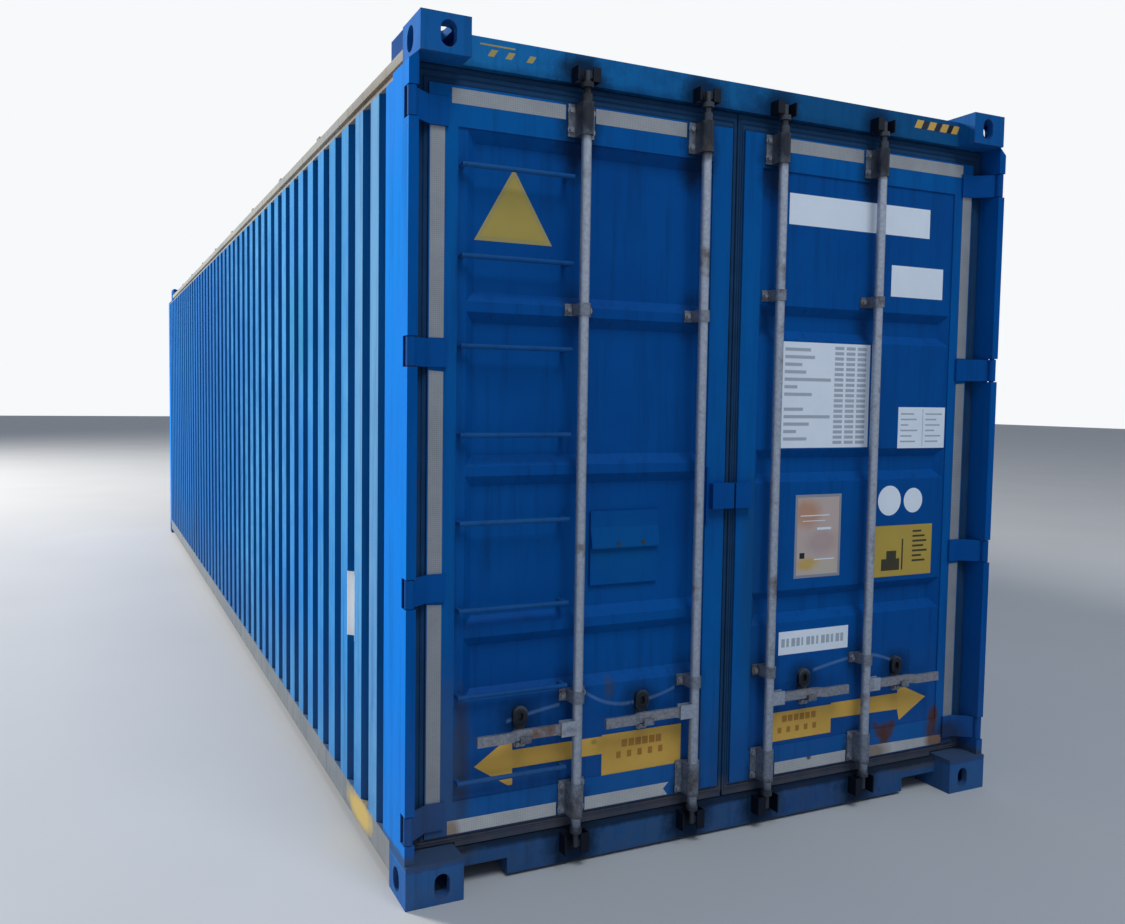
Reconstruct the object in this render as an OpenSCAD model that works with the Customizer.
// Thirty foot bulk freight container, 2.5 m wide and nine feet high.
// X runs across the container, Y along it with the door end at -Y, Z up from the ground.

/* [Overall] */
// Length over the corner castings
length = 9125; // [6058:1:12192]
// Width over the posts and the side walls
width = 2500; // [2450:1:2550]
// Height over the corner castings
height = 2743; // [2591:1:2896]
// How far the castings and the top rails lie inside the side walls
shoulder_w = 31; // [20:1:36]

/* [Corner castings] */
// Length of a corner casting along the container
casting_l = 178; // [170:1:190]
// Width of a corner casting, counted from its place inside the side walls
casting_w = 162; // [155:1:175]
// Height of a corner casting
casting_h = 118; // [110:1:130]
// Wall of a casting
casting_wall = 28; // [20:1:30]
// Distance from a casting's end face to the middle of its top or bottom slot
slot_from_end = 101.5; // [100:0.5:103]
// Distance from a top casting's outer face to the middle of the top or bottom slot
slot_from_side = 89; // [88:0.5:90]
// Length of the slot in the top and bottom faces
slot_l = 124; // [120:1:128]
// Width of the slot in the top and bottom faces
slot_w = 63.5; // [60:0.5:66]
// Height of the eye in the end and side faces
eye_h = 79.5; // [70:0.5:82]
// Width of the eye in the end face
end_eye_w = 51; // [48:1:56]
// Width of the eye in the side face
side_eye_w = 63.5; // [60:0.5:66]
// How far the castings stand out past the posts at each end
casting_proud = 12; // [8:1:16]
// Thickness of the pad between a bottom casting and its post
post_pad = 20; // [12:1:30]

/* [Door end frame] */
// Width of a door post seen from the end
post_w = 32; // [28:1:40]
// Depth of a door post along the container
post_d = 242; // [220:1:280]
// Wall of the posts
post_wall = 6; // [4:1:8]
// How far the door stop stands in from the post
stop_w = 22; // [16:1:30]
// Depth from the post's face to the door stop
stop_y = 140; // [138:1:150]
// Depth from the post's face to the face of the header and the sill
header_y = 66; // [64:1:70]
// Depth of the header and the sill along the container
header_d = 90; // [80:1:110]
// Height of the header
header_h = 95; // [80:1:105]
// Bottom of the sill above the ground
sill_z = 12.5; // [10:0.5:20]
// Top of the sill above the ground
sill_top = 122; // [110:1:130]
// Width of the notch in the sill beside each bottom casting
notch_w = 182; // [140:1:220]
// Top of that notch above the ground
notch_z = 68; // [50:1:80]
// Wall of the header, the sill and the rails
rail_wall = 5; // [4:0.5:8]

/* [Side and front frame] */
// Bottom of the bottom side rails above the ground
rail_z = 50; // [40:1:70]
// Top of the bottom side rails
rail_top = 150; // [140:1:165]
// Width of the bottom side rails' flanges
rail_w = 50; // [40:1:70]
// Distance from the top of the castings down to where the posts start to slope in
shoulder_drop = 145; // [130:1:155]
// Distance from the top of the castings down to the top of the side walls
wall_drop = 165; // [155:1:180]
// Width of a top side rail
top_rail_w = 60; // [50:1:80]
// Thickness of the ledge with which a top side rail closes the corrugations
rail_lip = 6; // [4:0.5:8]
// Height of the strip along the top of a top side rail
rail_strip_h = 33; // [20:1:45]
// How far the rail is set back below that strip
rail_set = 12; // [6:1:20]
// Distance from the top of the castings down to the top of the top rails
top_rail_drop = 67; // [60:1:80]
// Length of the upstand on a top rail behind each top casting
upstand_l = 125; // [90:1:140]
// Width of that upstand
upstand_w = 28; // [20:1:28]
// Distance from the top of the castings down to the top of that upstand
upstand_drop = 6; // [4:1:20]
// Width of a front post seen from the end
front_post_w = 60; // [50:1:80]
// Depth of a front post along the container
front_post_d = 166; // [158:1:178]
// Height of the front top rail
front_rail_h = 75; // [60:1:90]

/* [Walls] */
// Depth of the corrugations
wave_d = 36; // [28:1:45]
// Distance from one corrugation to the next on the side walls
wave_pitch = 204.5; // [190:0.1:280]
// Distance from the face of the door posts to the middle of the first whole crest
first_crest = 375; // [360:1:400]
// Width of a flat crest of the side corrugations
crest_w = 102; // [60:1:110]
// Width of a flat valley of the side corrugations
valley_w = 36; // [20:1:50]
// Thickness of the wall sheet
sheet_t = 2; // [1.6:0.1:3]
// Number of corrugations in the front wall
front_waves = 9; // [7:1:11]
// Thickness of the roof sheet
roof_t = 2; // [1.6:0.1:3]
// Height of the roof's swages
roof_wave = 20; // [12:1:25]
// Number of swages in the roof
roof_waves = 42; // [30:1:50]
// How far the roof reaches over the top side rails
roof_lap = 30; // [20:1:36]

/* [Roof hatches] */
// Number of loading hatches in the roof
hatch_n = 4; // [2:1:5]
// Radius of a hatch opening
hatch_r = 250; // [200:5:280]
// Height of a hatch above the roof
hatch_h = 56; // [40:1:60]
// Wall of a hatch
hatch_wall = 6; // [4:0.5:10]
// How far a hatch's lid reaches past its coaming
lid_lap = 14; // [8:1:20]
// Height of the lid's rim
lid_h = 22; // [16:1:30]

/* [Floor] */
// Top of the floor above the ground
floor_top = 174; // [165:1:180]
// Thickness of the floor
floor_t = 24; // [20:1:28]
// Number of cross members
member_n = 24; // [16:1:28]
// Height of a cross member
member_h = 122; // [90:1:126]
// Width of a cross member's flanges
member_w = 45; // [35:1:60]
// Wall of the cross members
member_wall = 4.5; // [4:0.5:6]

/* [Doors] */
// Depth from the post's face to the face of the doors
door_y = 80; // [78:1:84]
// Thickness of a door leaf
door_t = 52; // [46:1:54]
// Distance from the side of the container in to a leaf's outer edge
leaf_set = 90; // [84:1:100]
// Distance from the middle of the container to a leaf's inner edge
leaf_in = 28; // [24:1:34]
// Bottom of the leaves above the ground
leaf_z = 174; // [168:1:180]
// Distance from the header down to the top of the leaves
leaf_drop = 61; // [54:1:68]
// Width of the outer stile
stile_out = 96; // [90:1:104]
// Width of the inner stile
stile_in = 80; // [60:1:100]
// Height of the top rail of a leaf
leaf_rail_top = 124; // [100:1:140]
// Height of the bottom rail of a leaf
leaf_rail_bottom = 110; // [90:1:130]
// Wall of a leaf's tubes
leaf_wall = 4; // [3:0.5:6]
// How far the panel lies behind the face of the leaf
panel_set = 5; // [3:1:8]
// Number of swages in the right door and of ribs in the left one
swage_n = 3; // [1:1:3]
// Middle of the right door's lowest swage above the ground
swage_z = 820; // [800:1:840]
// Distance between the right door's swages
swage_pitch = 534.5; // [520:0.5:545]
// Middle of the left door's lowest rib above the ground
rib_z = 833; // [820:1:845]
// Distance between the left door's ribs
rib_pitch = 526; // [515:1:530]
// Width of a rib's flat crest
rib_w = 32; // [24:1:40]
// Bottom of the left door's recess above the ground
recess_z = 608; // [600:1:620]
// Distance from a leaf's outer edge to the outer edge of that recess
recess_set = 129; // [120:1:140]
// Depth of the panel's swages
swage_d = 28; // [18:1:36]
// Height of a swage at the face of the panel
swage_h = 124; // [110:1:130]
// Width of the slope round a swage or a recess
swage_slope = 34; // [26:1:40]
// Thickness of the door panel
panel_t = 2.5; // [2:0.5:4]
// Gap between a door's seal and what it meets
seal_gap = 5; // [4:0.5:6]
// Depth of the seal along the container
seal_d = 26; // [20:1:30]
// How far the seal lies behind the face of the leaf
seal_set = 12; // [8:1:16]

/* [Hinges] */
// Height of the lowest hinge above the ground
hinge_z = 246; // [230:1:260]
// Distance from the middle of the top hinge up to the top casting
hinge_drop = 147; // [140:1:160]
// Number of hinges on a door
hinge_n = 4; // [3:1:4]
// Height of a hinge blade
blade_h = 88; // [70:1:100]
// Thickness of a hinge blade
blade_t = 10; // [8:1:12]
// How far a hinge blade reaches onto the leaf
blade_lap = 62; // [40:1:80]
// Radius of a hinge pin
pin_r = 9; // [7:0.5:10]
// Wall of the knuckle round the pin
knuckle_wall = 6; // [5:0.5:7]
// Distance of the pin from both outer faces of the post
pin_set = 15; // [15:0.5:17]
// Height of each lug in the post
lug_h = 28; // [20:1:36]
// Depth of the cut in the post for a hinge
hinge_cut = 46; // [44:1:52]
// Gap above and below a knuckle
knuckle_gap = 3; // [2:0.5:5]
// Radial clearance of a pin in its knuckle
pin_gap = 0.1; // [0.05:0.01:0.3]

/* [Lock bars] */
// Distance of the inner lock bar from the middle of the container
bar_in = 166; // [150:1:190]
// Distance of the outer lock bar from the middle of the container
bar_out = 636; // [600:1:680]
// Depth from the post's face to the middle of the lock bars
bar_y = 36; // [34:1:40]
// Radius of a lock bar
bar_r = 17; // [15:0.5:19]
// Radial clearance of a lock bar in its brackets
bar_gap = 0.5; // [0.3:0.1:1]
// Wall of a bracket in front of the bar
bracket_wall = 5; // [4:0.5:7]
// Width of a bracket's base plate
bracket_w = 96; // [80:1:110]
// Thickness of a bracket's base plate
plate_t = 5; // [4:0.5:8]
// Height of the lower bearing bracket
bearing_low_h = 118; // [90:1:130]
// Height of the upper bearing bracket
bearing_high_h = 105; // [70:1:110]
// Height of a guide
guide_h = 40; // [30:1:60]
// Middle of the lower guides above the ground
guide_low_z = 592; // [570:1:620]
// Middle of the left door's upper guides above the ground
guide_left_z = 1891; // [1850:1:1930]
// Middle of the right door's upper guides above the ground
guide_right_z = 1982; // [1940:1:2020]
// How far the thick part of a bar reaches past the top of the leaf
bar_past = 22; // [18:1:26]
// How far the collars at a bar's ends stand out from it
collar_t = 4; // [2:0.5:5]
// Height of those collars
collar_h = 16; // [10:1:20]
// Height of a cam
cam_h = 24; // [18:1:30]
// Reach of a cam's nose from the middle of its bar
cam_reach = 21; // [18:0.5:22]
// Width of a cam's nose
cam_w = 14; // [10:1:16]
// Radius of the bar's neck at a cam
neck_r = 11; // [9:0.5:12]
// Width of a lower keeper
keeper_w = 92; // [84:1:100]
// Height of a lower keeper
keeper_h = 68; // [56:1:76]
// Width of an upper keeper
keeper_top_w = 84; // [78:1:100]
// Height of an upper keeper
keeper_top_h = 46; // [42:1:76]
// Thickness of a keeper's plates
keeper_t = 5; // [4:0.5:7]
// Gap between a cam and its keeper
keeper_gap = 3; // [2:0.5:4]

/* [Handles] */
// Middle of the handle hubs above the ground
handle_z = 490; // [470:1:510]
// Distance from a bar's middle to the pivot of its handle
pivot_x = 44; // [40:1:50]
// Distance from a bar's middle to the free end of its handle
handle_l = 368; // [340:1:390]
// Height of a handle
handle_h = 34; // [28:1:40]
// Thickness of a handle
handle_t = 12; // [10:1:14]
// Distance from a bar's middle to the bend in its handle
bend_x = 224; // [220:1:240]
// Length of that bend
bend_l = 30; // [20:1:40]
// How far the grip stands out from the rest of the handle
grip_off = 14; // [8:1:16]
// Radius of a handle's pivot pin
pivot_r = 7; // [5:0.5:9]
// Thickness of a hub cheek
cheek_t = 6; // [5:0.5:8]
// Gap between a handle and the cheeks of its hub
cheek_gap = 1.5; // [1:0.1:2]
// Height of a hub
hub_h = 50; // [44:1:66]
// How far a hub's cheeks reach past the pivot
cheek_end = 20; // [16:1:24]
// Distance from a bar's middle to its handle catch
catch_x = 195; // [180:1:210]
// Width of a handle catch
catch_w = 38; // [30:1:46]
// Height of the lip in front of a handle
lip_h = 18; // [12:1:22]
// Gap between a handle and its catch
catch_gap = 5; // [4:0.5:6]
// How far a catch's plate reaches above its shelf
catch_up = 106; // [90:1:120]
// How far a catch's plate reaches below its shelf
catch_down = 32; // [20:1:40]
// Width of the eye over a catch
ring_w = 52; // [44:1:56]
// Height of that eye
ring_h = 72; // [60:1:76]
// How far that eye stands out from the catch's plate
ring_t = 10; // [6:1:12]

/* [Ladder and fittings] */
// Number of ladder rungs on the left door
rung_n = 8; // [6:1:8]
// Height of the lowest rung above the ground
rung_z = 350; // [340:1:360]
// Distance from the highest rung up to the top of the leaf
rung_drop = 243; // [235:1:250]
// Distance from a leaf's outer edge to the outer end of the rungs
rung_set = 100; // [94:1:110]
// Distance from the middle of the outer lock bar to the inner end of the rungs
rung_clear = 34; // [30:1:60]
// Radius of a rung
rung_r = 8; // [6:0.5:10]
// Distance from the face of the leaf to the middle of a rung
rung_off = 26; // [22:1:32]
// Distance from the face of the door posts to the first lug on the top side rails
edge_lug_first = 1430; // [1000:10:1800]
// Distance between those lugs
edge_lug_pitch = 912; // [700:1:1200]
// Height of the lugs along the top side rails
edge_lug_h = 20; // [12:1:30]
// Length of those lugs along the rail
edge_lug_l = 50; // [30:1:80]
// Width of those lugs
edge_lug_w = 16; // [10:1:20]
// Distance from the middle of the container to the left end of the lock box
box_left = 96; // [80:1:110]
// Distance from the middle of the container to the right end of the lock box
box_right = 82; // [70:1:110]
// Gap from the middle of the container to each half of the lock box
box_gap = 4; // [3:0.5:6]
// Height of the lock box
box_h = 91; // [70:1:110]
// Bottom of the lock box above the ground
box_z = 1208; // [1180:1:1230]
// How far the lock box stands out from the leaves
box_d = 30; // [24:1:40]
// Height of the flat bar beside the lock box
strip_h = 206; // [180:1:230]
// Thickness of that bar and of the lock box's walls
strip_t = 6; // [4:1:8]
// Width of the document holder
holder_w = 270; // [220:1:300]
// Height of the document holder
holder_h = 255; // [200:1:280]
// Bottom of the document holder above the ground
holder_z = 955; // [920:1:980]
// Distance from the middle of the container to the document holder
holder_x = 292; // [260:1:320]
// Depth of the document holder
holder_d = 12; // [8:1:16]
// How far the flap of the document holder stands out at its lower edge
flap_d = 26; // [20:1:27]

/* [Hidden] */
$fn = 48;
eps = 0.01;

half_w = width / 2;
casting_out = half_w - shoulder_w;
casting_in = casting_out - casting_w;
post_in = half_w - post_w;
post_z = casting_h + post_pad;
top_z = height - casting_h;
front_y = length / 2 - casting_proud;
door_face = -front_y;
span = 2 * front_y;
shoulder_z = height - shoulder_drop;
wall_top = height - wall_drop;
top_rail_z = height - top_rail_drop;
leaf_out = half_w - leaf_set;
leaf_top = top_z - leaf_drop;
leaf_back = door_y + door_t;
rung_pitch = (leaf_top - rung_drop - rung_z) / (rung_n - 1);
rung_l = leaf_out - rung_set - bar_out - rung_clear;
pin_x = half_w - pin_set;
hinge_pitch = (top_z - hinge_drop - hinge_z) / (hinge_n - 1);
panel_in = leaf_in + stile_in;
panel_out = leaf_out - stile_out;
panel_low = leaf_z + leaf_rail_bottom;
panel_high = leaf_top - leaf_rail_top;
slope_wall = panel_t * sqrt(swage_d * swage_d + swage_slope * swage_slope) / swage_d;
knuckle_r = pin_r + knuckle_wall;
lug_cut_h = blade_h + 2 * knuckle_gap + 2 * lug_h;
bar_xs = [-bar_out, -bar_in, bar_in, bar_out];
wall_waves = floor((span - front_post_d - first_crest + crest_w / 2) / wave_pitch) + 1;
edge_x = casting_out - edge_lug_w;
roof_end = front_y - casting_l + casting_proud;
back_y = header_y + header_d;
fit_gap = 0.3;
flat_part = 0.3;
hole_share = 0.4;
cam_top_z = top_z + keeper_top_h / 2;
cam_low_z = sill_top - keeper_h / 2;

// Puts a piece of the door end in its place, measured from the face of the door posts
module door_end() {
    translate([0, door_face, 0]) children();
}

// Builds the right-hand piece on the side that is asked for
module on_side(side) {
    mirror([side < 0 ? 1 : 0, 0, 0]) children();
}

module both_sides() {
    for (side = [-1, 1]) on_side(side) children();
}

// A block from its two corners
module block(low, high) {
    translate(low) cube(high - low);
}

// An upright slot with round ends, cut along Y and centred on the origin
module eye(w, h, deep) {
    rotate([90, 0, 0])
        linear_extrude(deep, center = true) {
            square([w, h - w], center = true);
            for (end = [-1, 1]) translate([0, end * (h - w) / 2]) circle(d = w);
        }
}

// One casting at the right of the door end, its slot in the face at z = 0.
// The extra width reaches out to the side walls.
module casting(extra) {
    color("royalblue")
    difference() {
        block([casting_in, 0, 0], [casting_out + extra, casting_l, casting_h]);
        block([casting_in + casting_wall / 2, casting_wall, casting_wall],
              [casting_out - casting_wall, casting_l - casting_wall / 2, casting_h - casting_wall / 2]);
        translate([casting_out - slot_from_side, slot_from_end, 0]) rotate([90, 0, 0])
            eye(slot_w, slot_l, 2 * casting_wall + 2);
        translate([casting_out - slot_from_side, 0, casting_h / 2]) eye(end_eye_w, eye_h, 2 * casting_wall + 2);
        translate([casting_out, slot_from_end, casting_h / 2]) rotate([0, 0, 90])
            eye(side_eye_w, eye_h, 2 * (casting_wall + extra) + 2);
    }
}

// A bottom casting in its place at the right of the door end
module bottom_casting() {
    translate([0, -length / 2, 0]) casting(shoulder_w);
}

module door_end_bottom_castings() {
    both_sides() bottom_casting();
}

module door_end_top_castings() {
    translate([0, -length / 2, height]) mirror([0, 0, 1]) both_sides() casting(0);
}

module front_left_bottom_casting() {
    rotate([0, 0, 180]) bottom_casting();
}

module front_right_bottom_casting() {
    mirror([0, 1, 0]) bottom_casting();
}

module front_end_top_castings() {
    mirror([0, 1, 0]) door_end_top_castings();
}

// Outline of a door post in plan, drawn inset by a wall for its hollow
module post_outline(inset) {
    polygon([
        [half_w - inset, inset], [post_in + inset, inset], [post_in + inset, stop_y + inset],
        [post_in - stop_w + inset, stop_y + inset], [post_in - stop_w + inset, post_d - inset],
        [half_w - inset, post_d - inset]
    ]);
}

// The sloping cut that brings a post in to its top casting
module shoulder_cut() {
    translate([0, -eps, 0]) rotate([-90, 0, 0]) linear_extrude(span)
        polygon([[half_w + 1, -shoulder_z], [half_w, -shoulder_z], [casting_out, -top_z], [half_w + 1, -top_z]]);
}

module door_post(side) {
    color("dodgerblue")
    on_side(side) door_end() {
        difference() {
            translate([0, 0, post_z]) linear_extrude(top_z - post_z) post_outline(0);
            translate([0, 0, post_z + post_wall])
                linear_extrude(shoulder_z - post_z - 2 * post_wall) post_outline(post_wall);
            shoulder_cut();
            block([post_in - stop_w - 1, casting_l - casting_proud, post_z - 1],
                  [half_w + 1, post_d + 1, rail_top]);
            block([post_in - stop_w - 1, casting_l - casting_proud, wall_top],
                  [half_w + 1, post_d + 1, top_z + 1]);
            for (i = [0 : hinge_n - 1])
                translate([0, 0, hinge_z + i * hinge_pitch])
                    block([post_in - 1, -1, -lug_cut_h / 2], [half_w + 1, hinge_cut, lug_cut_h / 2]);
        }
        block([casting_in, -casting_proud, casting_h], [half_w, casting_l - casting_proud, post_z]);
    }
}

module door_post_left() { door_post(-1); }
module door_post_right() { door_post(1); }

module front_posts() {
    color("dodgerblue")
    both_sides() translate([0, front_y - front_post_d, 0]) {
        difference() {
            block([half_w - front_post_w, 0, post_z], [half_w, front_post_d, top_z]);
            block([half_w - front_post_w + post_wall, post_wall, post_z + post_wall],
                  [half_w - post_wall, front_post_d - post_wall, shoulder_z - post_wall]);
            translate([0, -span / 2, 0]) shoulder_cut();
        }
        block([casting_in, front_post_d - casting_l + casting_proud, casting_h],
              [half_w, front_post_d + casting_proud, post_z]);
    }
}

// A closed tube from its two corners
module tube(low, high, wall) {
    difference() {
        block(low, high);
        block(low + [wall, wall, wall], high - [wall, wall, wall]);
    }
}

module door_header() {
    color("royalblue")
    door_end() tube([-casting_in, header_y, top_z], [casting_in, back_y, top_z + header_h], rail_wall);
}

module door_sill() {
    notch_x = casting_in - notch_w;
    color("royalblue")
    door_end() {
        tube([-notch_x, header_y, sill_z], [notch_x, back_y, sill_top], rail_wall);
        both_sides() {
            tube([notch_x, header_y, notch_z], [casting_in, back_y, sill_top], rail_wall);
            block([-eps, stop_y, sill_top - eps], [casting_in, back_y, floor_top]);
            block([casting_in - eps, stop_y, post_z], [post_in - stop_w, back_y, floor_top]);
        }
    }
}

// A rail across the front end, with the pieces that close the corners beside it
module front_rail(low, high, corner_low, corner_high) {
    front = front_y - casting_proud;
    back = front_y - front_post_d;
    color("royalblue") {
        tube([-casting_in, back, low], [casting_in, front, high], rail_wall);
        both_sides() block([casting_in - eps, back, corner_low], [half_w - front_post_w, front, corner_high]);
    }
}

module front_top_rail() {
    front_rail(top_rail_z - front_rail_h, top_rail_z, top_rail_z - front_rail_h, top_z);
}

module front_bottom_rail() {
    front_rail(sill_z, rail_top, post_z, rail_top);
}

// Outline of a top side rail seen from the end, on the right
module top_rail_outline() {
    band_x = casting_out - rail_set;
    strip_z = top_rail_z - rail_strip_h;
    difference() {
        polygon([
            [half_w, wall_top], [half_w, wall_top + rail_lip], [band_x, wall_top + rail_lip],
            [band_x, strip_z], [casting_out, strip_z], [casting_out, top_rail_z],
            [casting_out - top_rail_w, top_rail_z], [casting_out - top_rail_w, wall_top]
        ]);
        translate([casting_out - top_rail_w + rail_wall, wall_top + rail_wall])
            square([top_rail_w - rail_set - 2 * rail_wall, top_rail_z - wall_top - 2 * rail_wall]);
    }
}

module top_side_rail(side) {
    rail_l = length - 2 * casting_l;
    edge_lug_n = floor((rail_l / 2 - door_face - edge_lug_first) / edge_lug_pitch);
    color("slategray")
    on_side(side) {
        rotate([90, 0, 0]) linear_extrude(rail_l, center = true) top_rail_outline();
        for (middle = [-1, 1] * (rail_l - upstand_l) / 2)
            block([casting_out - upstand_w, middle - upstand_l / 2, top_rail_z - eps],
                  [casting_out, middle + upstand_l / 2, height - upstand_drop]);
        for (i = [0 : edge_lug_n])
            translate([edge_x, door_face + edge_lug_first + i * edge_lug_pitch, top_rail_z])
                block([-edge_lug_w / 2, -edge_lug_l / 2, -eps], [edge_lug_w / 2, edge_lug_l / 2, edge_lug_h]);
    }
}

module top_side_rail_left() { top_side_rail(-1); }
module top_side_rail_right() { top_side_rail(1); }

module bottom_side_rail(side) {
    rail_l = length - 2 * casting_l;
    color("steelblue")
    on_side(side) difference() {
        block([half_w - rail_w, -rail_l / 2, rail_z], [half_w, rail_l / 2, rail_top]);
        block([half_w - rail_w - 1, -rail_l / 2 - 1, rail_z + rail_wall],
              [half_w - rail_wall, rail_l / 2 + 1, rail_top - rail_wall]);
    }
}

module bottom_side_rail_left() { bottom_side_rail(-1); }
module bottom_side_rail_right() { bottom_side_rail(1); }

// Outline points of one side of a corrugated sheet: distance along it, then depth
function wave_line(first, count, pitch, crest, valley, deep) = [
    for (i = [0 : count - 1]) each [
        [first + i * pitch + crest / 2, 0],
        [first + (i + 0.5) * pitch - valley / 2, deep],
        [first + (i + 0.5) * pitch + valley / 2, deep],
        [first + (i + 1) * pitch - crest / 2, 0]
    ]
];

function shifted(points, along, deep) = [for (p = points) [p[0] + along, p[1] + deep]];
function reversed(points) = [for (i = [len(points) - 1 : -1 : 0]) points[i]];

// A corrugated sheet in plan, from start to end, with its outer crests at depth 0
// and the middle of the first crest at the place given, where it may start in the slope after it
module corrugated(start, end, first, count, pitch, crest, valley, deep, t) {
    slope_l = (pitch - crest - valley) / 2;
    start_deep = deep * min(1, max(0, start - first - crest / 2) / slope_l);
    line = [for (p = wave_line(first, count, pitch, crest, valley, deep)) if (p[0] > start) p];
    outer = concat([[start, start_deep]], line, [[end, 0]]);
    polygon(concat(outer, reversed(shifted(outer, 0, t))));
}

module side_wall(side) {
    color("royalblue")
    on_side(side) translate([half_w, 0, rail_top]) linear_extrude(wall_top - rail_top)
        rotate(90) corrugated(door_face + post_d, front_y - front_post_d,
                              door_face + first_crest - wave_pitch, wall_waves, wave_pitch, crest_w,
                              valley_w, wave_d - sheet_t, sheet_t);
}

module side_wall_left() { side_wall(-1); }
module side_wall_right() { side_wall(1); }

module front_wall() {
    wall_l = width - 2 * front_post_w;
    pitch = wall_l / (front_waves + 0.5);
    color("royalblue")
    translate([0, front_y - casting_proud - rail_wall, rail_top])
        linear_extrude(top_rail_z - front_rail_h - rail_top) mirror([0, 1])
            corrugated(-wall_l / 2, wall_l / 2, -front_waves * pitch / 2, front_waves, pitch,
                       pitch * flat_part, pitch * flat_part, wave_d - sheet_t, sheet_t);
}

module roof() {
    start = door_face + back_y;
    end = front_y - casting_proud;
    pitch = (end - start) / (roof_waves + 0.5);
    half_roof = casting_out - top_rail_w + roof_lap;
    color("steelblue")
    difference() {
        translate([0, 0, top_rail_z + roof_wave + roof_t]) rotate([90, 0, 90])
            linear_extrude(2 * half_roof, center = true) mirror([0, 1])
                corrugated(start, end, start + pitch / 4, roof_waves, pitch, pitch * flat_part,
                           pitch * flat_part, roof_wave, roof_t);
        hatch_places() translate([0, 0, -1]) cylinder(r = hatch_r, h = hatch_h + 1);
        both_sides() for (corner_y = [-1, 1] * (length / 2 + roof_end) / 2)
            block([casting_in, corner_y - casting_l / 2, top_rail_z - 1], [half_w, corner_y + casting_l / 2, height]);
    }
}

// The hatches stand in a row along the middle of the roof, their centres at the top of the rails
module hatch_places() {
    for (i = [0 : hatch_n - 1])
        translate([0, (i - (hatch_n - 1) / 2) * length / hatch_n, top_rail_z]) children();
}

// A coaming with its lid, the lid's two hinge eyes at one end and its latch at the other
module roof_hatches() {
    lid_r = hatch_r + lid_lap;
    color("slategray")
    hatch_places() {
        difference() {
            union() {
                cylinder(r = hatch_r - fit_gap, h = hatch_h);
                translate([0, 0, hatch_h - lid_h]) cylinder(r = lid_r, h = lid_h);
            }
            translate([0, 0, -1]) cylinder(r = hatch_r - hatch_wall, h = hatch_h - hatch_wall + 1);
            translate([0, 0, hatch_h - 2]) cylinder(r = hatch_r * 0.8, h = 3);
        }
        for (x = [-hatch_r / 3, hatch_r / 3])
            block([x - lid_h / 2, lid_r - lid_h, hatch_h - lid_h], [x + lid_h / 2, lid_r + lid_h, hatch_h]);
        block([-lid_h, -lid_r - lid_h, hatch_h - lid_h], [lid_h, -lid_r + lid_h, hatch_h + hatch_wall]);
    }
}

module floor_boards() {
    color("saddlebrown")
    difference() {
        block([-half_w + wave_d + fit_gap, door_face + back_y, floor_top - floor_t],
              [half_w - wave_d - fit_gap, front_y - casting_proud - rail_wall - wave_d, floor_top]);
        both_sides() {
            block([half_w - front_post_w, front_y - front_post_d, floor_top - floor_t - 1],
                  [half_w, front_y, floor_top + 1]);
            block([post_in - stop_w, door_face, floor_top - floor_t - 1],
                  [half_w, door_face + post_d, floor_top + 1]);
        }
    }
}

module cross_members() {
    first = door_face + back_y + member_w;
    last = front_y - front_post_d - member_w;
    bottom = floor_top - floor_t - member_h;
    color("dimgray")
    for (i = [0 : member_n - 1])
        translate([0, first + i * (last - first) / (member_n - 1), bottom]) difference() {
            block([-half_w + rail_w, -member_w / 2, 0], [half_w - rail_w, member_w / 2, member_h]);
            block([-half_w, member_wall - member_w / 2, member_wall],
                  [half_w, member_w / 2 + 1, member_h - member_wall]);
        }
}

// Places each hinge's middle at its pin on the right of the door end
module hinge_places() {
    for (i = [0 : hinge_n - 1])
        translate([pin_x, pin_set, hinge_z + i * hinge_pitch]) children();
}

module hinge_lugs() {
    color("midnightblue")
    both_sides() door_end() hinge_places() {
        for (end = [-1, 1])
            translate([0, 0, end * (blade_h / 2 + knuckle_gap + lug_h / 2)])
                block([post_in - pin_x, -pin_set, -lug_h / 2], [pin_set, hinge_cut - pin_set, lug_h / 2]);
        cylinder(r = pin_r, h = blade_h + 2 * knuckle_gap + 2 * eps, center = true);
    }
}

module cam_keepers() {
    color("dimgray")
    door_end() for (x = bar_xs) on_side(x) translate([abs(x), 0, 0]) {
        keeper(top_z, keeper_top_w, keeper_top_h);
        keeper(sill_top - keeper_h, keeper_w, keeper_h);
    }
}

// A keeper for the right-hand door: plate, two cheeks and the lip that the nose turns behind
module keeper(z, w, h) {
    nose_front = bar_y - cam_w / 2 - keeper_gap;
    translate([0, 0, z]) {
        block([-w / 2, header_y - keeper_t, 0], [w / 2, header_y, h]);
        for (side = [-1, 1])
            block([side * (w / 2 - keeper_t / 2) - keeper_t / 2, nose_front - keeper_t, 0],
                  [side * (w / 2 - keeper_t / 2) + keeper_t / 2, header_y, h]);
        block([-w / 2, nose_front - keeper_t, 0], [-neck_r - keeper_gap, nose_front, h]);
    }
}

// The leaf of the right-hand door: two stiles and two rails of square tube
module leaf_frame(side) {
    color("royalblue")
    on_side(side) door_end() {
        tube([panel_out, door_y, leaf_z], [leaf_out, leaf_back, leaf_top], leaf_wall);
        tube([leaf_in, door_y, leaf_z], [panel_in, leaf_back, leaf_top], leaf_wall);
        tube([panel_in - eps, door_y, panel_high], [panel_out + eps, leaf_back, leaf_top], leaf_wall);
        tube([panel_in - eps, door_y, leaf_z], [panel_out + eps, leaf_back, panel_low], leaf_wall);
    }
}

module door_left_frame() { leaf_frame(-1); }
module door_right_frame() { leaf_frame(1); }

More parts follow.
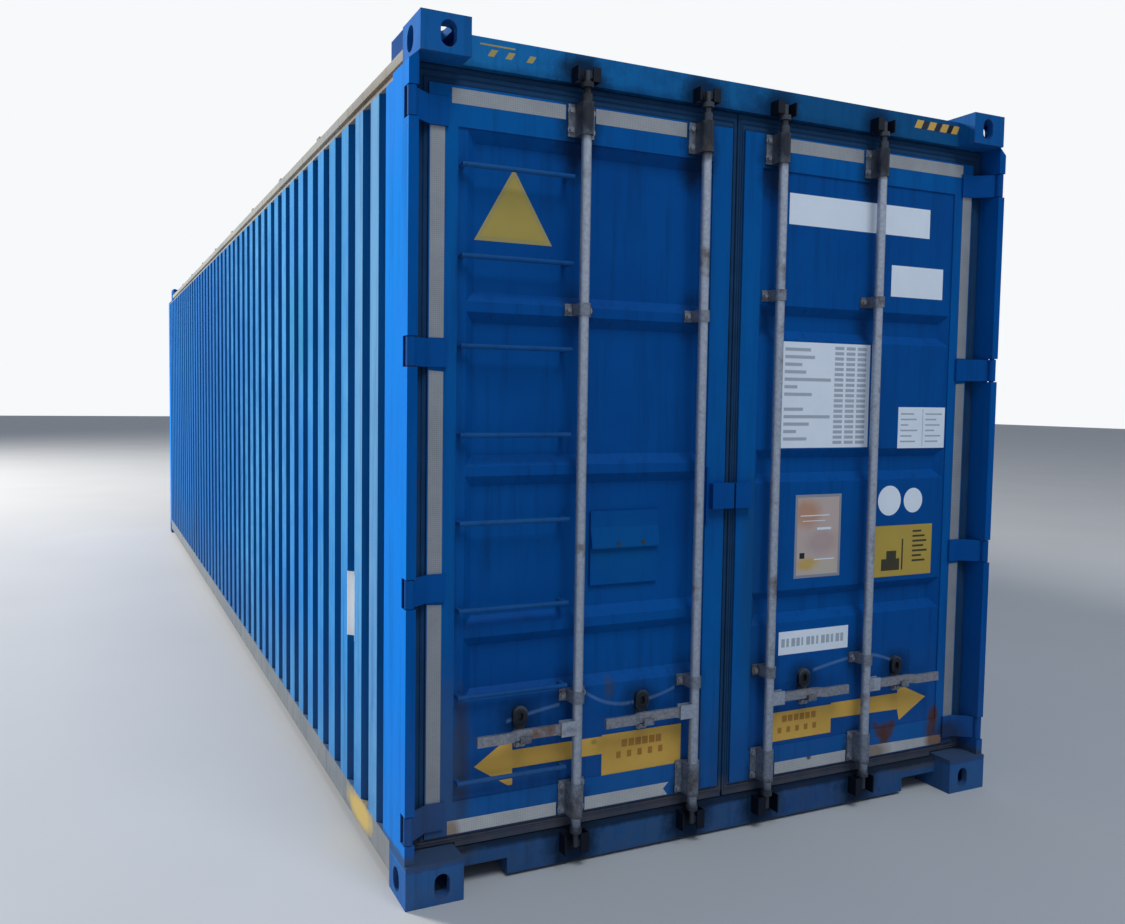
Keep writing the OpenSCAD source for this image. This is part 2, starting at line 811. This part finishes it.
// A tray pressed into a door panel, from its edges at the face of the panel.
// Grown by the wall, it is the tray's outer form.
module tray(low_x, high_x, low_z, high_z, wall = 0) {
    deep = swage_d + wall;
    run = swage_slope * deep / swage_d;
    side = wall > 0 ? slope_wall : 0;
    start = wall > 0 ? 0 : -1;
    intersection() {
        translate([low_x - side, 0, 0]) rotate([90, 0, 90]) linear_extrude(high_x - low_x + 2 * side)
            tray_outline(low_z - side, high_z + side, deep, run, start);
        translate([0, 0, low_z - side]) linear_extrude(high_z - low_z + 2 * side) mirror([1, -1])
            tray_outline(low_x - side, high_x + side, deep, run, start);
    }
}

// Outline of a tray: its depth, then the place along it
module tray_outline(low, high, deep, run, start) {
    polygon([[start, low], [0, low], [deep, low + run], [deep, high - run], [0, high], [start, high]]);
}

// Where the trays of a door begin and end in height: between the ribs on the left,
// the swages on the right
function tray_spans(side) = side < 0
    ? [for (i = [0 : swage_n])
        [i == 0 ? recess_z : rib_z + (i - 1) * rib_pitch + rib_w / 2,
         i == swage_n ? panel_high - slope_wall : rib_z + i * rib_pitch - rib_w / 2]]
    : [for (i = [0 : swage_n - 1])
        [swage_z + i * swage_pitch - swage_h / 2, swage_z + i * swage_pitch + swage_h / 2]];

module leaf_panel(side) {
    high_x = side < 0 ? leaf_out - recess_set : panel_out - slope_wall;
    color("mediumblue")
    on_side(side) door_end() translate([0, door_y + panel_set, 0]) difference() {
        union() {
            block([panel_in, 0, panel_low], [panel_out, panel_t, panel_high]);
            for (span = tray_spans(side)) tray(panel_in + slope_wall, high_x, span[0], span[1], panel_t);
        }
        for (span = tray_spans(side)) tray(panel_in + slope_wall, high_x, span[0], span[1]);
    }
}

module door_left_panel() { leaf_panel(-1); }
module door_right_panel() { leaf_panel(1); }

module leaf_seal(side) {
    low_y = door_y + seal_set;
    color("black")
    on_side(side) door_end() difference() {
        block([seal_gap, low_y, sill_top + seal_gap], [post_in - seal_gap, low_y + seal_d, top_z - seal_gap]);
        block([leaf_in - fit_gap, low_y - 1, leaf_z - fit_gap],
              [leaf_out + fit_gap, low_y + seal_d + 1, leaf_top + fit_gap]);
        block([casting_in - seal_gap, low_y - 1, 0], [half_w, low_y + seal_d + 1, post_z + seal_gap]);
    }
}

module door_left_seal() { leaf_seal(-1); }
module door_right_seal() { leaf_seal(1); }

// A hinge blade in plan: a bent strap from the knuckle to the face of the leaf
module blade_outline() {
    lap = pin_x - leaf_out + blade_lap;
    face = door_y - pin_set;
    polygon([
        [-knuckle_r / 4, 0], [leaf_out - pin_x, face - blade_t], [-lap, face - blade_t], [-lap, face],
        [leaf_out - pin_x - blade_t / 2, face], [0, knuckle_r - 1]
    ]);
}

module leaf_hinges(side) {
    color("midnightblue")
    on_side(side) door_end() hinge_places() difference() {
        union() {
            cylinder(r = knuckle_r, h = blade_h, center = true);
            linear_extrude(blade_h, center = true) blade_outline();
        }
        cylinder(r = pin_r + pin_gap, h = blade_h + 2, center = true);
    }
}

module door_left_hinges() { leaf_hinges(-1); }
module door_right_hinges() { leaf_hinges(1); }

// A bracket that holds a lock bar off the leaf, its middle at the height given.
// Its plate lies on the leaf's face, or on the panel when that is set back.
module bracket(z, h, back = 0) {
    bore = bar_r + bar_gap;
    saddle = bore + bracket_wall;
    translate([0, 0, z]) difference() {
        union() {
            block([-bracket_w / 2, door_y + back - plate_t, -h / 2], [bracket_w / 2, door_y + back, h / 2]);
            block([-saddle, bar_y, -h / 2], [saddle, door_y + back - eps, h / 2]);
            translate([0, bar_y, 0]) cylinder(r = saddle, h = h, center = true);
        }
        translate([0, bar_y, 0]) cylinder(r = bore, h = h + 2, center = true);
    }
}

// A catch that the handle drops into, with its upright eye for a seal above
module handle_catch() {
    shelf = handle_z - handle_h / 2 - catch_gap;
    front = bar_y - handle_t / 2 - catch_gap;
    face = door_y + panel_set;
    block([-catch_w / 2, face - plate_t, shelf - catch_down], [catch_w / 2, face, shelf + catch_up - ring_w / 2]);
    block([-catch_w / 2, front - plate_t, shelf - plate_t], [catch_w / 2, face - eps, shelf]);
    block([-catch_w / 2, front - plate_t, shelf - plate_t], [catch_w / 2, front, shelf + lip_h]);
    translate([0, face - (plate_t + ring_t) / 2, shelf + catch_up - ring_h / 2]) difference() {
        eye(ring_w, ring_h, plate_t + ring_t);
        eye(ring_w * hole_share, ring_h * hole_share, plate_t + ring_t + 2);
    }
}

module leaf_brackets(side, guide_z) {
    color("lightslategray")
    on_side(side) door_end() for (x = [bar_in, bar_out]) translate([x, 0, 0]) {
        bracket(leaf_z + bearing_low_h / 2 + leaf_wall, bearing_low_h);
        bracket(guide_low_z, guide_h, panel_set);
        bracket(guide_z, guide_h, panel_set);
        bracket(leaf_top - bearing_high_h / 2 - leaf_wall, bearing_high_h);
        translate([catch_x, 0, 0]) handle_catch();
    }
}

module door_left_brackets() { leaf_brackets(-1, guide_left_z); }
module door_right_brackets() { leaf_brackets(1, guide_right_z); }

// Half of the lock box that joins the doors: a cover that is open below
module lock_box(reach) {
    low_y = door_y - box_d;
    difference() {
        block([box_gap, low_y, box_z], [reach, door_y, box_z + box_h]);
        block([box_gap - 1, low_y + strip_t, box_z - 1],
              [reach - strip_t, door_y + 1, box_z + box_h - strip_t]);
    }
}

module door_left_fittings() {
    color("royalblue")
    on_side(-1) door_end() {
        lock_box(box_left);
        block([box_left, door_y - strip_t, box_z + (box_h - strip_h) / 2],
              [box_left + 2 * strip_t, door_y, box_z + (box_h + strip_h) / 2]);
        document_holder();
    }
}

// A flat box on the floor of the recess under a flap that slopes out towards its lower edge
module document_holder() {
    floor_y = door_y + panel_set + swage_d;
    flap_z = holder_z + holder_h / 2;
    block([holder_x, floor_y - holder_d, holder_z], [holder_x + holder_w, floor_y, holder_z + holder_h]);
    translate([holder_x, floor_y, 0]) rotate([90, 0, 90]) linear_extrude(holder_w)
        polygon([[0, holder_z + holder_h], [-flap_d, flap_z + strip_t], [-flap_d, flap_z],
                 [-holder_d + eps, flap_z + 2 * strip_t], [0, flap_z + 2 * strip_t]]);
}

module door_right_fittings() {
    color("royalblue")
    door_end() lock_box(box_right);
}

// How far the recess lies behind the left panel's face at the foot of a rung
function leg_depth(z) = swage_d * min(1, max(0, (z - recess_z) / swage_slope));

module ladder_rungs() {
    color("royalblue")
    on_side(-1) door_end() for (i = [0 : rung_n - 1])
        translate([bar_out + rung_clear, door_y - rung_off, rung_z + i * rung_pitch]) {
            rotate([0, 90, 0]) cylinder(r = rung_r, h = rung_l);
            for (x = [rung_r, rung_l - rung_r])
                translate([x, 0, 0]) rotate([-90, 0, 0])
                    cylinder(r = rung_r, h = rung_off + panel_set
                             + (x < rung_l / 2 ? leg_depth(rung_z + i * rung_pitch - rung_r) : 0));
        }
}

// A cam: a neck on the bar's axis and the nose that turns behind the keeper's lip
module cam() {
    cylinder(r = neck_r, h = cam_h, center = true);
    block([-cam_reach, -cam_w / 2, -cam_h / 2], [0, cam_w / 2, cam_h / 2]);
}

// A lock bar of the right-hand door, turned about its own axis, with its cams and its hub
module lock_bar(n) {
    x = bar_xs[n - 1];
    low = sill_top + keeper_gap;
    high = top_z - keeper_gap;
    color("silver")
    on_side(x) door_end() translate([abs(x), bar_y, 0]) {
        translate([0, 0, low]) cylinder(r = bar_r, h = leaf_top + bar_past - low);
        for (z = [low, high - collar_h]) translate([0, 0, z]) cylinder(r = bar_r + collar_t, h = collar_h);
        translate([0, 0, cam_low_z - cam_h / 2]) cylinder(r = neck_r, h = low - cam_low_z + cam_h / 2 + 1);
        translate([0, 0, leaf_top]) cylinder(r = neck_r, h = cam_top_z + cam_h / 2 - leaf_top);
        for (z = [cam_low_z, cam_top_z]) translate([0, 0, z]) cam();
        translate([0, 0, handle_z]) hub();
    }
}

// Two cheeks beside the bar with the handle's pin through them
module hub() {
    inner = handle_t / 2 + cheek_gap;
    for (side = [-1, 1])
        block([0, side * (inner + cheek_t / 2) - cheek_t / 2, -hub_h / 2],
              [pivot_x + cheek_end, side * (inner + cheek_t / 2) + cheek_t / 2, hub_h / 2]);
    translate([pivot_x, 0, 0]) rotate([90, 0, 0]) cylinder(r = pivot_r, h = 2 * inner + 2, center = true);
}

module lock_bar_1() { lock_bar(1); }
module lock_bar_2() { lock_bar(2); }
module lock_bar_3() { lock_bar(3); }
module lock_bar_4() { lock_bar(4); }

module handle(n) {
    x = bar_xs[n - 1];
    color("lightgray")
    on_side(x) door_end() translate([abs(x), bar_y, handle_z]) difference() {
        union() {
            translate([pivot_x, 0, 0]) rotate([90, 0, 0])
                cylinder(r = handle_h / 2, h = handle_t, center = true);
            translate([0, 0, -handle_h / 2]) linear_extrude(handle_h) translate([0, -handle_t / 2]) polygon([
                [pivot_x, 0], [bend_x, 0], [bend_x + bend_l, -grip_off], [handle_l, -grip_off],
                [handle_l, handle_t - grip_off], [bend_x + bend_l, handle_t - grip_off],
                [bend_x, handle_t], [pivot_x, handle_t]
            ]);
        }
        translate([pivot_x, 0, 0]) rotate([90, 0, 0])
            cylinder(r = pivot_r + pin_gap, h = handle_t + 2, center = true);
    }
}

module handle_1() { handle(1); }
module handle_2() { handle(2); }
module handle_3() { handle(3); }
module handle_4() { handle(4); }

door_end_bottom_castings();
door_end_top_castings();
front_left_bottom_casting();
front_right_bottom_casting();
front_end_top_castings();
door_post_left();
door_post_right();
front_posts();
door_header();
door_sill();
front_top_rail();
front_bottom_rail();
top_side_rail_left();
top_side_rail_right();
bottom_side_rail_left();
bottom_side_rail_right();
side_wall_left();
side_wall_right();
front_wall();
roof();
roof_hatches();
floor_boards();  // floor
cross_members();
hinge_lugs();
cam_keepers();
door_left_frame();
door_left_panel();
door_left_seal();
door_left_hinges();
door_left_brackets();
door_left_fittings();
ladder_rungs();
door_right_frame();
door_right_panel();
door_right_seal();
door_right_hinges();
door_right_brackets();
door_right_fittings();
lock_bar_1();
lock_bar_2();
lock_bar_3();
lock_bar_4();
handle_1();
handle_2();
handle_3();
handle_4();
